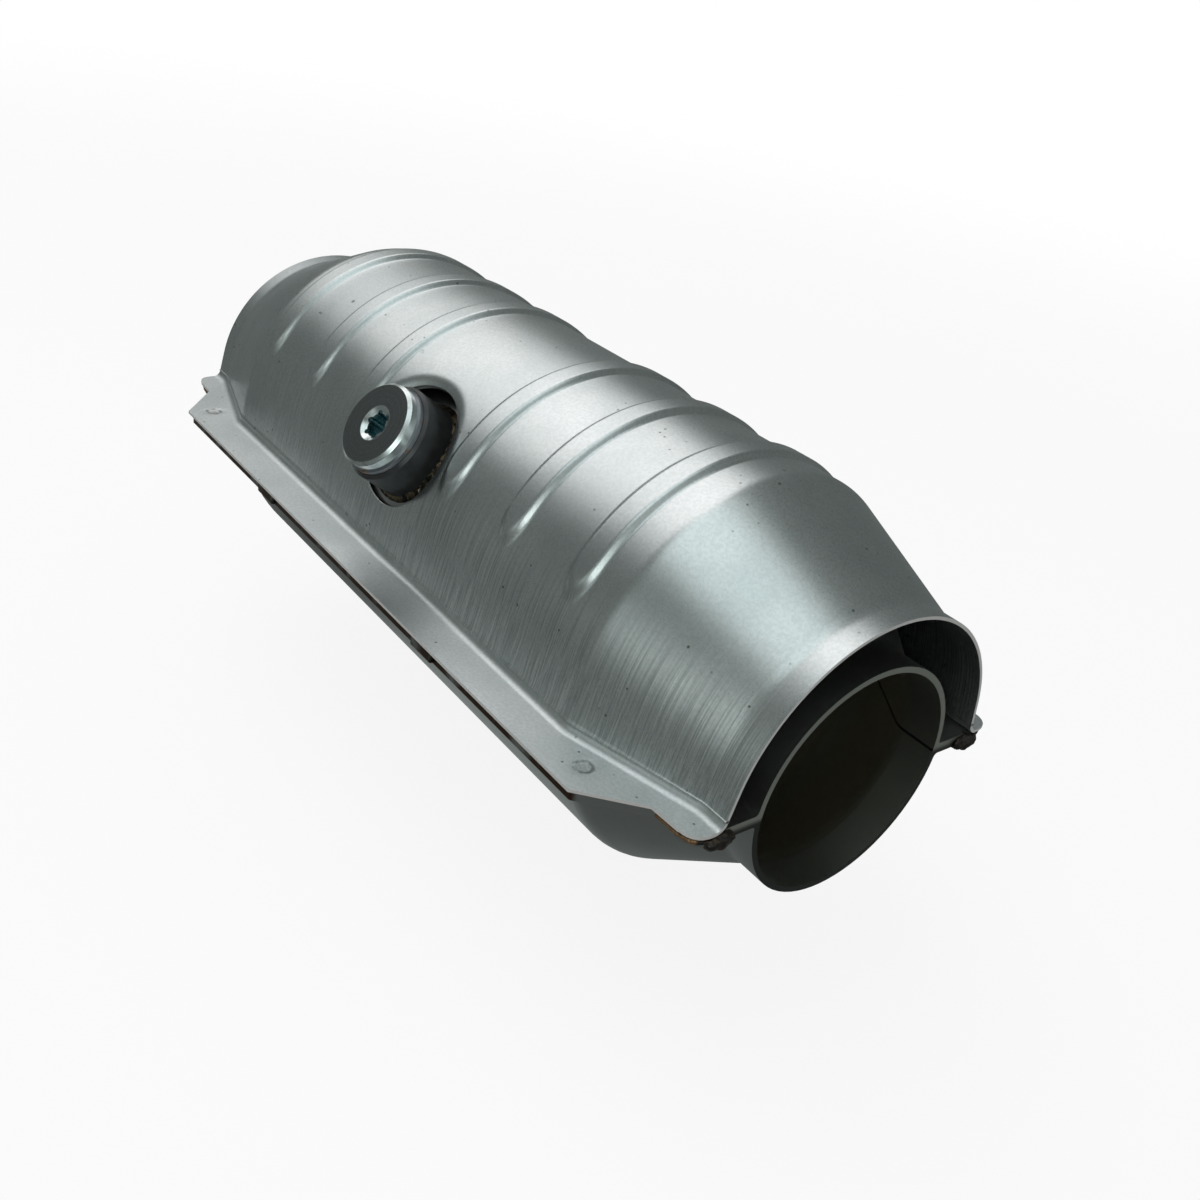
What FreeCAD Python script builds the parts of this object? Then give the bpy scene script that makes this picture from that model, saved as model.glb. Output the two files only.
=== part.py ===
# Universal clamshell catalytic converter with a ribbed heat shield and a plugged sensor port.
# Two pressed shells meet at z = 0 along their flanges and hold two matted bricks.
# X runs along the pipes from the inlet to the outlet, Z points up to the shield.
# Shapes are built about the middle of the length, then moved so that the origin is
# the centre of the inlet mouth.

import FreeCAD, Part
import math
import os

Vec = FreeCAD.Vector

# Bricks, each side of the port, with mats and wire mesh seals round them
port_x = -3.2
port_room = 17.5            # free length each side of the port
brick_length = 70.0
mat_thickness = 3.8
mat_margin = 2.5            # brick left bare at each end
seal_width = 5.0

# Pipe necks and shells
neck_bore = 57.5            # takes a 2 1/4 inch pipe
shell_wall = 1.5
body_radius = 49.3          # outside of the round body
body_spare = 2.1            # round body past the bricks
cone_length = 27.5
neck_length = 10.5
shoulder_round = 9.0
neck_round = 5.0
shoulder_x = abs(port_x) + port_room + brick_length + body_spare
neck_start = shoulder_x + cone_length
mouth_x = neck_start + neck_length

# Flanges
flange_width = 13.3         # shield flange edge from the round body
inlet_ear = 11.1            # straight edge past the shoulder at the inlet
outlet_ear = 13.9
waist_back = 1.4            # concave corner between ear and lobe, from the neck
lobe_width = 18.95          # lobe edge from the neck's outside
waist_more = 0.7            # the waist is this much wider than the lobe
waist_round = 2.0
ear_round = 1.0
lobe_round = 4.6
shell_inset = 1.3           # shell flanges stop short of the shield's edge
root_round = 1.0            # bend between a shell and its flange

# Locating tabs bent up from the lower flange
tab_length = 8.6
tab_x = 45.2
tab_thickness = 1.2
tab_gap = 0.1

# Heat shield
shield_sheet = 0.8
crown_less = 0.4            # the crown's radius under the body's
crown_z = 8.6
wall_draft = 11.7           # lean of the straight walls from the vertical
shield_shoulder_back = 2.8  # before the body's shoulder
shield_shoulder_round = 9.0
collar_gap = 10.35          # collar's radius over the neck's
collar_z = 2.6
collar_start = 4.7          # past the start of the neck
collar_round = 5.0
collar_over = 0.9           # past the mouth
foot_round = 2.4

# Ribs pressed outwards in the shield, in two groups beside the port
rib_offsets = (24.7, 52.0, 79.2)
rib_width = 9.0
rib_height = 1.3
rib_foot_angle = 22.8       # where a rib ends, above the crown's centre line
rib_sink = 0.5

# Spot welds through the shield's ears
spot_past = 9.1             # past the shoulder
spot_in = 7.5               # in from the flange edge
spot_radius = 2.3
spot_depth = 0.25

# Sensor port
port_tilt = 36.0            # above the horizontal, on the -Y side
port_bore = 9.0
bung_radius = 13.5
bung_height = 10.4          # seat above the round body
bung_chamfer = 0.8
bung_weld_reach = 1.6
bung_weld_height = 2.4
port_hole = 16.8
port_hole_shift_x = -0.4
port_hole_shift_up = 0.6
lip_depth = 2.0
lip_clearance = 0.4         # between the turned-in edge and the shell

# Plug and gasket
gasket_radius = 12.5
gasket_thickness = 1.2
plug_head = 11.95
plug_head_thickness = 3.4
plug_chamfer = 0.85
plug_shank = 8.9
plug_shank_length = 9.0
socket_core = 3.25
socket_lobe = 0.85
socket_lobe_at = 3.2
socket_depth = 4.5
socket_mouth = 4.9
socket_cone = 0.9

# Welds that close the seam at each end of each flange
bead_radius = 0.8
lump_radii = (1.9, 2.5, 2.2)
lump_pitch = 2.1
lump_gap = 8.35             # the lump nearest the neck, from its outside
lump_drop = 0.8             # below the seam
lump_sink = 0.2             # lump centres behind the mouth plane

neck_radius = neck_bore / 2 + shell_wall
brick_radius = body_radius - shell_wall - mat_thickness
flange_half = body_radius + flange_width
inlet_ear_x = shoulder_x + inlet_ear
outlet_ear_x = shoulder_x + outlet_ear
waist_x = neck_start - waist_back
lobe_y = neck_radius + lobe_width
waist_y = lobe_y + waist_more
crown_radius = body_radius - crown_less
shield_shoulder_x = shoulder_x - shield_shoulder_back
collar_radius = neck_radius + collar_gap
collar_x = neck_start + collar_start
collar_end = mouth_x + collar_over
spot_x = shoulder_x + spot_past
spot_y = flange_half - spot_in
bung_top = body_radius + bung_height
lump_y = neck_radius + lump_gap
draft = math.radians(wall_draft)
x_axis = Vec(1, 0, 0)
z_axis = Vec(0, 0, 1)
port_dir = Vec(0, -math.cos(math.radians(port_tilt)), math.sin(math.radians(port_tilt)))
port_side = port_dir.cross(x_axis)


def unit(vector):
    return vector * (1.0 / vector.Length)


# A closed or open run of lines whose corners are rounded by tangent arcs.
def rounded_edges(points, rounds, closed):
    count = len(points)
    starts = list(points)
    ends = list(points)
    arcs = [None] * count
    for i in range(count):
        if rounds[i] <= 0:
            continue
        before = unit(points[i - 1] - points[i])
        after = unit(points[(i + 1) % count] - points[i])
        half = before.getAngle(after) / 2
        reach = rounds[i] / math.tan(half)
        starts[i] = points[i] + before * reach
        ends[i] = points[i] + after * reach
        middle = points[i] + unit(before + after) * (rounds[i] / math.sin(half) - rounds[i])
        arcs[i] = Part.Arc(starts[i], middle, ends[i]).toShape()
    edges = []
    for i in range(count):
        if arcs[i] is not None:
            edges.append(arcs[i])
        if i < count - 1 or closed:
            edges.append(Part.makeLine(ends[i], starts[(i + 1) % count]))
    return edges


# The can's outline in the XY plane, as radius against x, moved inwards by depth.
def can_face(depth):
    slope = math.atan2(body_radius - neck_radius, neck_start - shoulder_x)
    slip = depth * math.tan(slope / 2)
    radius = body_radius - depth
    neck = neck_radius - depth
    side = [Vec(mouth_x, neck), Vec(neck_start - slip, neck), Vec(shoulder_x - slip, radius)]
    points = [Vec(mouth_x, 0)] + side + [Vec(-p.x, p.y) for p in reversed(side)] + [Vec(-mouth_x, 0)]
    rounds = [0, 0, neck_round + depth, shoulder_round - depth]
    rounds = rounds + list(reversed(rounds))
    return Part.Face(Part.Wire(rounded_edges(points, rounds, True)))


def half_can(depth, angle):
    return can_face(depth).revolve(Vec(), x_axis, angle)


# The flange outline seen from above; inset moves every edge inwards.
def flange_face(inset, end_x):
    points = []
    rounds = []
    for side in (1, -1):
        corners = flange_corners(side, inset, end_x)
        if side < 0:
            corners.reverse()
        for point, rounding in corners:
            points.append(point)
            rounds.append(rounding)
    return Part.Face(Part.Wire(rounded_edges(points, rounds, True)))


def flange_corners(side, inset, end_x):
    corners = []
    for toward, ear in ((-1, inlet_ear_x), (1, outlet_ear_x)):
        bend = math.atan2(flange_half - waist_y, waist_x - ear)
        ear_slip = inset * math.tan(bend / 2)
        run = [
            (Vec(toward * end_x, side * (lobe_y - inset)), lobe_round),
            (Vec(toward * (waist_x - ear_slip), side * (waist_y - inset)), waist_round),
            (Vec(toward * (ear - ear_slip), side * (flange_half - inset)), ear_round),
        ]
        corners = corners + (run if toward < 0 else list(reversed(run)))
    return corners


def flange_plate(inset, end_x, low, high):
    plate = flange_face(inset, end_x).extrude(Vec(0, 0, high - low))
    plate.translate(Vec(0, 0, low))
    return plate


# Rounds the edges of a shape whose middle passes the test.
def round_where(shape, rounding, test):
    edges = [edge for edge in shape.Edges if test(edge)]
    return shape.makeFillet(rounding, edges)


def pressed_shell(upper):
    sign = 1 if upper else -1
    low, high = (0, shell_wall) if upper else (-shell_wall, 0)
    plate = flange_plate(shell_inset, mouth_x, low, high)
    skin = half_can(0, 180 * sign).fuse(plate)
    foot = sign * shell_wall

    def is_root(edge):
        box = edge.BoundBox
        on_foot = abs(box.ZMin - foot) < 0.01 and abs(box.ZMax - foot) < 0.01
        middle = edge.CenterOfMass
        inside = abs(middle.y) < body_radius + 0.5
        return on_foot and inside and abs(middle.x) < mouth_x - 0.5 and not near_lobe(middle)

    skin = round_where(skin, root_round, is_root)
    return skin.cut(half_can(shell_wall, 180 * sign))


# True outside the can's own outline at the flange, where the plate's edge runs.
def near_lobe(point):
    x = abs(point.x)
    if x < shoulder_x:
        reach = body_radius
    elif x > neck_start:
        reach = neck_radius
    else:
        share = (x - shoulder_x) / (neck_start - shoulder_x)
        reach = body_radius + (neck_radius - body_radius) * share
    return abs(point.y) > reach + 2.0


# A point at a distance from the pipe axis along the port, moved across it.
def port_point(distance, along_x=0.0, up=0.0):
    return Vec(port_x, 0, 0) + port_dir * distance + x_axis * along_x + port_side * up


def port_cylinder(radius, start, end):
    return Part.makeCylinder(radius, end - start, port_point(start), port_dir)


def upper_shell():
    shell = pressed_shell(True)
    return shell.cut(port_cylinder(port_bore, body_radius - 10, body_radius + 10))


def locating_tab(x, side):
    edge = flange_half - shell_inset + tab_gap
    top = shell_wall - tab_gap
    corner_a = Vec(x - tab_length / 2, side * (edge - 1.0), -shell_wall)
    foot = Part.makeBox(tab_length, 1.0 + tab_thickness, shell_wall, corner_a)
    corner_b = Vec(x - tab_length / 2, side * edge, -shell_wall)
    upright = Part.makeBox(tab_length, tab_thickness, shell_wall + top, corner_b)
    if side < 0:
        foot.translate(Vec(0, -1.0 - tab_thickness, 0))
        upright.translate(Vec(0, -tab_thickness, 0))
    tab = foot.fuse(upright).removeSplitter()
    outside = side * (edge + tab_thickness)

    def is_bend(line):
        middle = line.CenterOfMass
        return abs(middle.y - outside) < 0.01 and abs(middle.z + shell_wall) < 0.01

    return round_where(tab, tab_thickness * 0.8, is_bend)


def lower_shell():
    shell = pressed_shell(False)
    for x in (-tab_x, tab_x):
        for side in (-1, 1):
            shell = shell.fuse(locating_tab(x, side))
    return shell.removeSplitter()


# Half the width of a section where its wall reaches base_z.
def foot_reach(radius, centre_z, base_z):
    return (radius + (centre_z - base_z) * math.sin(draft)) / math.cos(draft)


# The shield's section at x: a crown arc with straight drafted walls tangent to it.
def crown_wire(x, radius, centre_z, base_z):
    foot = foot_reach(radius, centre_z, base_z)
    left = Vec(x, -radius * math.cos(draft), centre_z + radius * math.sin(draft))
    right = Vec(x, -left.y, left.z)
    top = Vec(x, 0, centre_z + radius)
    foot_left = Vec(x, -foot, base_z)
    foot_right = Vec(x, foot, base_z)
    edges = [
        Part.makeLine(foot_left, left),
        Part.Arc(left, top, right).toShape(),
        Part.makeLine(right, foot_right),
        Part.makeLine(foot_right, foot_left),
    ]
    return Part.Wire(edges)


def body_wire(x, depth, base_z):
    return crown_wire(x, crown_radius - depth, crown_z, base_z)


def collar_wire(x, depth, base_z):
    return crown_wire(x, collar_radius - depth, collar_z, base_z)


# The block under the shield's skin, without ribs; depth moves the skin inwards.
def shield_block(depth, base_z, end_x):
    ends = [body_wire(side * shield_shoulder_x, depth, base_z) for side in (-1, 1)]
    body = Part.makeLoft(ends, True, True)
    for toward in (-1, 1):
        shoulder = body_wire(toward * shield_shoulder_x, depth, base_z)
        collar = collar_wire(toward * collar_x, depth, base_z)
        end = collar_wire(toward * end_x, depth, base_z)
        body = body.fuse(Part.makeLoft([shoulder, collar], True, True))
        body = body.fuse(Part.makeLoft([collar, end], True, True))

    def at(x, low):
        def test(edge):
            box = edge.BoundBox
            return abs(abs(box.XMin) - x) < 0.01 and box.XLength < 0.01 and box.ZMax > low
        return test

    body = round_where(body, shield_shoulder_round - depth, at(shield_shoulder_x, base_z + 0.1))
    return round_where(body, collar_round + depth, at(collar_x, base_z + 0.1))


# One rib: a circle segment swept round the crown, with a domed end on each side.
def rib(x, depth):
    arc_radius = (rib_width ** 2 / 4 + rib_height ** 2) / (2 * rib_height)
    centre = crown_radius + rib_height - arc_radius
    radius = arc_radius - depth
    base = crown_radius - depth - rib_sink
    half = math.sqrt(radius ** 2 - (base - centre) ** 2)
    top = Vec(x, 0, crown_z + centre + radius)
    left = Vec(x - half, 0, crown_z + base)
    right = Vec(x + half, 0, crown_z + base)
    segment = Part.Face(Part.Wire([Part.Arc(left, top, right).toShape(), Part.makeLine(right, left)]))
    inset = math.degrees(rib_width / 2 / crown_radius)
    swing = 90 - rib_foot_angle - inset
    axis_point = Vec(x, 0, crown_z)
    segment.rotate(axis_point, x_axis, -swing)
    band = segment.revolve(axis_point, x_axis, 2 * swing)
    foot = Vec(x, 0, crown_z + base)
    middle = Vec(x, 0, top.z)
    half_segment = Part.Face(Part.Wire([Part.makeLine(foot, middle),
                                        part_of_arc(middle, right, x, centre, radius),
                                        Part.makeLine(right, foot)]))
    dome = half_segment.revolve(axis_point, z_axis, 360)
    for side in (-1, 1):
        cap = dome.copy()
        cap.rotate(axis_point, x_axis, side * swing)
        band = band.fuse(cap)
    return band.removeSplitter()


# The arc from the segment's top to its edge.
def part_of_arc(start, end, x, centre, radius):
    turn = math.asin((end.x - x) / radius) / 2
    middle = Vec(x + radius * math.sin(turn), 0, crown_z + centre + radius * math.cos(turn))
    return Part.Arc(start, middle, end).toShape()


def rib_places():
    return [port_x + side * offset for side in (-1, 1) for offset in rib_offsets]


# The hole over the port, with its edge drawn in towards the shell.
def port_opening(radius, spare=0.0):
    start = body_radius * 0.6 - spare
    centre = port_point(start, port_hole_shift_x, port_hole_shift_up)
    return Part.makeCylinder(radius, body_radius * 0.8 + 2 * spare, centre, port_dir)


# The sheet's turned-in edge round the hole, as deep as the shell under it allows.
def turned_edge(base):
    ring = port_opening(port_hole).cut(port_opening(port_hole - shield_sheet, 1.0))
    ring = ring.cut(shield_block(lip_depth, base - 2.0, collar_end + 2.0))
    return ring.cut(body_bar(body_radius + lip_clearance))


def heat_shield():
    base = shell_wall
    plate = flange_plate(0, collar_end, base, base + shield_sheet)
    skin = shield_block(0, base + shield_sheet / 2, collar_end).fuse(plate).removeSplitter()

    def is_foot(edge):
        box = edge.BoundBox
        level = abs(box.ZMin - base - shield_sheet) < 0.01 and abs(box.ZMax - base - shield_sheet) < 0.01
        middle = edge.CenterOfMass
        return level and not beyond_foot(middle)

    skin = round_where(skin, foot_round, is_foot)
    hollow = shield_block(shield_sheet, base - 1.0, collar_end + 1.0)
    for x in rib_places():
        skin = skin.fuse(rib(x, 0))
        hollow = hollow.fuse(rib(x, shield_sheet))
    hollow = hollow.cut(turned_edge(base))
    shield = skin.cut(hollow).cut(port_opening(port_hole - shield_sheet))
    for x in (-spot_x, spot_x):
        for y in (-spot_y, spot_y):
            shield = shield.cut(spot_dimple(x, y, base + shield_sheet))
    return shield


# True outside the shield wall's foot, where the plate's edge runs.
def beyond_foot(point):
    share = (abs(point.x) - shield_shoulder_x) / (collar_x - shield_shoulder_x)
    share = min(max(share, 0), 1)
    wide = foot_reach(crown_radius, crown_z, shell_wall)
    narrow = foot_reach(collar_radius, collar_z, shell_wall)
    return abs(point.y) > wide + (narrow - wide) * share + 1.2


def spot_dimple(x, y, top):
    ball = (spot_radius ** 2 + spot_depth ** 2) / (2 * spot_depth)
    sphere = Part.makeSphere(ball, Vec(x, y, top + ball - spot_depth))
    return sphere.common(Part.makeCylinder(spot_radius * 1.2, spot_radius, Vec(x, y, top - 1.0)))


def brick(side):
    near = port_x + side * port_room
    start = min(near, near + side * brick_length)
    return Part.makeCylinder(brick_radius, brick_length, Vec(start, 0, 0), x_axis)


def wrap_ring(start, length):
    outer = Part.makeCylinder(body_radius - shell_wall, length, Vec(start, 0, 0), x_axis)
    return outer.cut(Part.makeCylinder(brick_radius, length, Vec(start, 0, 0), x_axis))


# Mat and seals of one brick, from the inlet side: seal, mat, seal.
def wraps(side):
    near = port_x + side * port_room
    start = min(near, near + side * brick_length) + mat_margin
    mat_length = brick_length - 2 * mat_margin - 2 * seal_width
    return (
        wrap_ring(start, seal_width),
        wrap_ring(start + seal_width, mat_length),
        wrap_ring(start + seal_width + mat_length, seal_width),
    )


def sensor_bung():
    body = port_cylinder(bung_radius, body_radius - 8, bung_top)

    def is_rim(edge):
        centre = edge.CenterOfMass
        return (centre - port_point(bung_top)).Length < 0.01

    body = body.makeChamfer(bung_chamfer, [edge for edge in body.Edges if is_rim(edge)])
    body = body.cut(port_cylinder(port_bore, body_radius - 9, bung_top + 1))
    return body.cut(body_bar(body_radius))


def body_bar(radius):
    half = bung_radius * 2
    return Part.makeCylinder(radius, 2 * half, Vec(port_x - half, 0, 0), x_axis)


# A rounded weld that follows the shell round the foot of the bung.
def bung_weld():
    outside = bung_radius + bung_weld_reach
    ring = port_cylinder(outside, body_radius - 8, bung_top)
    ring = ring.cut(port_cylinder(bung_radius, body_radius - 9, bung_top))
    ring = ring.common(body_bar(body_radius + bung_weld_height)).cut(body_bar(body_radius))

    def is_crest(edge):
        point = edge.valueAt((edge.FirstParameter + edge.LastParameter) / 2)
        from_axis = math.hypot(point.y, point.z)
        from_port = (point - port_point(0)).cross(port_dir).Length
        return from_axis > body_radius + bung_weld_height - 0.05 and abs(from_port - outside) < 0.05

    return round_where(ring, bung_weld_reach * 0.9, is_crest)


def plug_gasket():
    ring = port_cylinder(gasket_radius, bung_top, bung_top + gasket_thickness)
    return ring.cut(port_cylinder(plug_shank, bung_top, bung_top + gasket_thickness))


def bung_plug():
    under_head = bung_top + gasket_thickness
    face = under_head + plug_head_thickness
    head = port_cylinder(plug_head, under_head, face)

    def is_rim(edge):
        return (edge.CenterOfMass - port_point(face)).Length < 0.01

    head = head.makeChamfer(plug_chamfer, [edge for edge in head.Edges if is_rim(edge)])
    plug = head.fuse(port_cylinder(plug_shank, under_head - plug_shank_length, under_head))
    socket = port_cylinder(socket_core, face - socket_depth, face)
    for i in range(6):
        angle = math.radians(60 * i)
        across = socket_lobe_at * math.cos(angle)
        centre = port_point(face - socket_depth, across, socket_lobe_at * math.sin(angle))
        socket = socket.fuse(Part.makeCylinder(socket_lobe, socket_depth, centre, port_dir))
    mouth = Part.makeCone(socket_mouth - socket_cone * 1.6, socket_mouth, socket_cone,
                          port_point(face - socket_cone), port_dir)
    return plug.cut(socket).cut(mouth)


# One end of a seam: a thin bead round the lobe, then a row of lumps up to the neck.
def seam_weld(toward, side, shells):
    corners = flange_corners(side, shell_inset, mouth_x)
    ear, waist, lobe = [corner[0] for corner in corners if corner[0].x * toward > 0][::toward]
    edges = rounded_edges([ear, waist, lobe, Vec(lobe.x, 0)], [0, waist_round, lobe_round, 0], False)
    path = Part.Wire(edges[2:4])
    start = path.Edges[0].valueAt(path.Edges[0].FirstParameter)
    circle = Part.Wire(Part.makeCircle(bead_radius, start, x_axis))
    weld = path.makePipeShell([circle], True, False)
    for i, radius in enumerate(lump_radii):
        centre = Vec(toward * (mouth_x - lump_sink), side * (lump_y + lump_pitch * i), -lump_drop)
        weld = weld.fuse(Part.makeSphere(radius, centre))
    for shell in shells:
        weld = weld.cut(shell)
    return weld


def save(name, shape):
    shape.translate(Vec(mouth_x, 0, 0))
    solids = shape.Solids
    print(name, "solids", len(solids), "valid", shape.isValid(), "volume", round(shape.Volume, 1))
    shape.exportStep("parts/" + name + ".step")


def main():
    os.makedirs("parts", exist_ok=True)
    top = upper_shell()
    bottom = lower_shell()
    shield = heat_shield()
    for end, toward in (("inlet", -1), ("outlet", 1)):
        for hand, side in (("left", 1), ("right", -1)):
            save(end + "_" + hand + "_weld", seam_weld(toward, side, (top, bottom, shield)))
    for place, side in (("front", -1), ("rear", 1)):
        inlet_seal, mat, outlet_seal = wraps(side)
        save(place + "_brick", brick(side))
        save(place + "_mat", mat)
        save(place + "_mat_inlet_seal", inlet_seal)
        save(place + "_mat_outlet_seal", outlet_seal)
    save("sensor_bung", sensor_bung())
    save("bung_weld", bung_weld())
    save("plug_gasket", plug_gasket())
    save("bung_plug", bung_plug())
    save("upper_shell", top)
    save("lower_shell", bottom)
    save("heat_shield", shield)


main()
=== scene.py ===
import bpy
import math
import numpy as np
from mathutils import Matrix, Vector


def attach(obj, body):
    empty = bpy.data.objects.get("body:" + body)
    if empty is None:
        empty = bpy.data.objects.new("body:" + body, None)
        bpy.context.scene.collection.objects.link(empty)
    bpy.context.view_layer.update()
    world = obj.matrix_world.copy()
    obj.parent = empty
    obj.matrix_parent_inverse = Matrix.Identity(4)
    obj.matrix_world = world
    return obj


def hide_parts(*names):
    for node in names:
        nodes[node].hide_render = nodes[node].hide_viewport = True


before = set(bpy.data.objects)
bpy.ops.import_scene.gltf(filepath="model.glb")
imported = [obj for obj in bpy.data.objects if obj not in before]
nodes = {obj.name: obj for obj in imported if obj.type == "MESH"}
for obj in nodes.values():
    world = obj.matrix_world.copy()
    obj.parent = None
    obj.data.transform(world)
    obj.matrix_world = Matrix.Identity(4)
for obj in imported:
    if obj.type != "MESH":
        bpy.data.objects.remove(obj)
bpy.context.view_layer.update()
print("frame loaded")

mm = 0.001                      # metres in a millimetre
mid = 130.8                     # millimetres from the inlet mouth to the middle of the length


def clearSlots(piece, material):
    piece.data.materials.clear()
    piece.data.materials.append(material)


def smoothStep(low, high, value):
    # 0 below low, 1 above high, and 3s^2 - 2s^3 of the share s between them
    share = np.clip((value - low) / (high - low), 0.0, 1.0)
    return share * share * (3 - 2 * share)


def closedRows(ids):
    # faces of four corners between rows of points, where each row closes on itself
    after = np.roll(ids, -1, axis=1)
    return np.stack([ids[:-1], after[:-1], after[1:], ids[1:]], -1).reshape(-1, 4)


def turnedOut(points, faces, way):
    # turns every face round if together they look against the given way
    first, second, last = (points[faces[:, corner]] for corner in (0, 1, 3))
    looks = np.cross(second - first, last - first).sum(axis=0)
    return faces[:, ::-1] if looks @ way < 0 else faces


def addPiece(name, points, faces, uvs, material):
    # points in millimetres about the middle of the length, faces of four corners
    place = (points + np.array([mid, 0.0, 0.0])) * mm
    mesh = bpy.data.meshes.new(name)
    mesh.vertices.add(len(place))
    mesh.vertices.foreach_set("co", place.astype(np.float32).ravel())
    mesh.loops.add(faces.size)
    mesh.loops.foreach_set("vertex_index", faces.ravel().astype(np.int32))
    mesh.polygons.add(len(faces))
    mesh.polygons.foreach_set("loop_start", np.arange(0, faces.size, 4, dtype=np.int32))
    layer = mesh.uv_layers.new(name="sheet")
    layer.data.foreach_set("uv", uvs[faces.ravel()].astype(np.float32).ravel())
    mesh.update()
    mesh.validate()
    mesh.polygons.foreach_set("use_smooth", np.ones(len(mesh.polygons), dtype=bool))
    # an open edge is a cut edge of the sheet, so it stays sharp
    edgeOf = np.zeros(len(mesh.loops), dtype=np.int32)
    mesh.loops.foreach_get("edge_index", edgeOf)
    mesh.edges.foreach_set("use_edge_sharp", np.bincount(edgeOf, minlength=len(mesh.edges)) == 1)
    mesh.update()
    piece = bpy.data.objects.new(name, mesh)
    bpy.context.scene.collection.objects.link(piece)
    piece.data.materials.append(material)
    return piece


def newMaterial(name):
    material = bpy.data.materials.new(name)
    material.use_nodes = True
    tree = material.node_tree
    return material, tree, tree.nodes["Principled BSDF"]


def wire(tree, made, **inputs):
    # i0, i1 and so on are sockets by number, and any other word is a socket's name with _ for a space
    for key, value in inputs.items():
        socket = made.inputs[int(key[1:]) if key[1:].isdigit() else key.replace("_", " ")]
        if isinstance(value, bpy.types.NodeSocket):
            tree.links.new(value, socket)
        else:
            socket.default_value = value
    return made


def node(tree, kind, settings=None, **inputs):
    made = tree.nodes.new(kind)
    for key, value in (settings or {}).items():
        setattr(made, key, value)
    return wire(tree, made, **inputs)


def worked(tree, operation, first, second=0.0):
    return node(tree, "ShaderNodeMath", {"operation": operation}, i0=first, i1=second).outputs[0]


def plus(tree, first, *others):
    for other in others:
        first = worked(tree, "ADD", first, other)
    return first


def times(tree, first, *others):
    for other in others:
        first = worked(tree, "MULTIPLY", first, other)
    return first


def minus(tree, first, second):
    return worked(tree, "SUBTRACT", first, second)


def unsigned(tree, value):
    return worked(tree, "ABSOLUTE", value)


def distance(tree, first, second):
    # how far two steps at a right angle reach together
    return worked(tree, "SQRT", plus(tree, times(tree, first, first), times(tree, second, second)))


def vectorWorked(tree, operation, first, second=(0.0, 0.0, 0.0)):
    return node(tree, "ShaderNodeVectorMath", {"operation": operation}, i0=first, i1=second).outputs


def alongWay(tree, vector, way):
    return vectorWorked(tree, "DOT_PRODUCT", vector, way)["Value"]


def ranged(tree, value, low, high, toLow=0.0, toHigh=1.0):
    # smooth change from one value to another between two limits
    return node(tree, "ShaderNodeMapRange", {"interpolation_type": "SMOOTHSTEP"}, Value=value,
                From_Min=low, From_Max=high, To_Min=toLow, To_Max=toHigh).outputs[0]


def noise(tree, vector, scale, detail=2.0, rough=0.5):
    return node(tree, "ShaderNodeTexNoise", None, Vector=vector, Scale=scale, Detail=detail,
                Roughness=rough).outputs["Fac"]


def cells(tree, vector, scale):
    # distance from the nearest scattered point, and that point's own three random values
    made = node(tree, "ShaderNodeTexVoronoi", {"feature": "F1"}, Vector=vector, Scale=scale).outputs
    return made["Distance"], split(tree, made["Color"])


def blended(tree, share, first, second):
    return node(tree, "ShaderNodeMix", {"data_type": "RGBA"}, i0=share, i6=first, i7=second).outputs[2]


def objectPlace(tree):
    return node(tree, "ShaderNodeTexCoord").outputs["Object"]


def split(tree, vector):
    return node(tree, "ShaderNodeSeparateXYZ", None, i0=vector).outputs


def bumped(tree, shader, height, strength, deep):
    bump = node(tree, "ShaderNodeBump", None, Height=height, Strength=strength, Distance=deep)
    wire(tree, shader, Normal=bump.outputs[0])


def seenRays(tree):
    # 1 for the rays that show a surface as it is: camera, through glass and mirrored
    path = node(tree, "ShaderNodeLightPath").outputs
    seen = worked(tree, "MAXIMUM", path["Is Camera Ray"], path["Is Transmission Ray"])
    return worked(tree, "MAXIMUM", seen, path["Is Glossy Ray"])


def tint(red, green, blue):
    return (red, green, blue, 1.0)


def plainFinish(name, colour, rough, metallic=1.0):
    material, tree, shader = newMaterial(name)
    wire(tree, shader, Base_Color=colour, Roughness=rough, Metallic=metallic)
    return material


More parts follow.
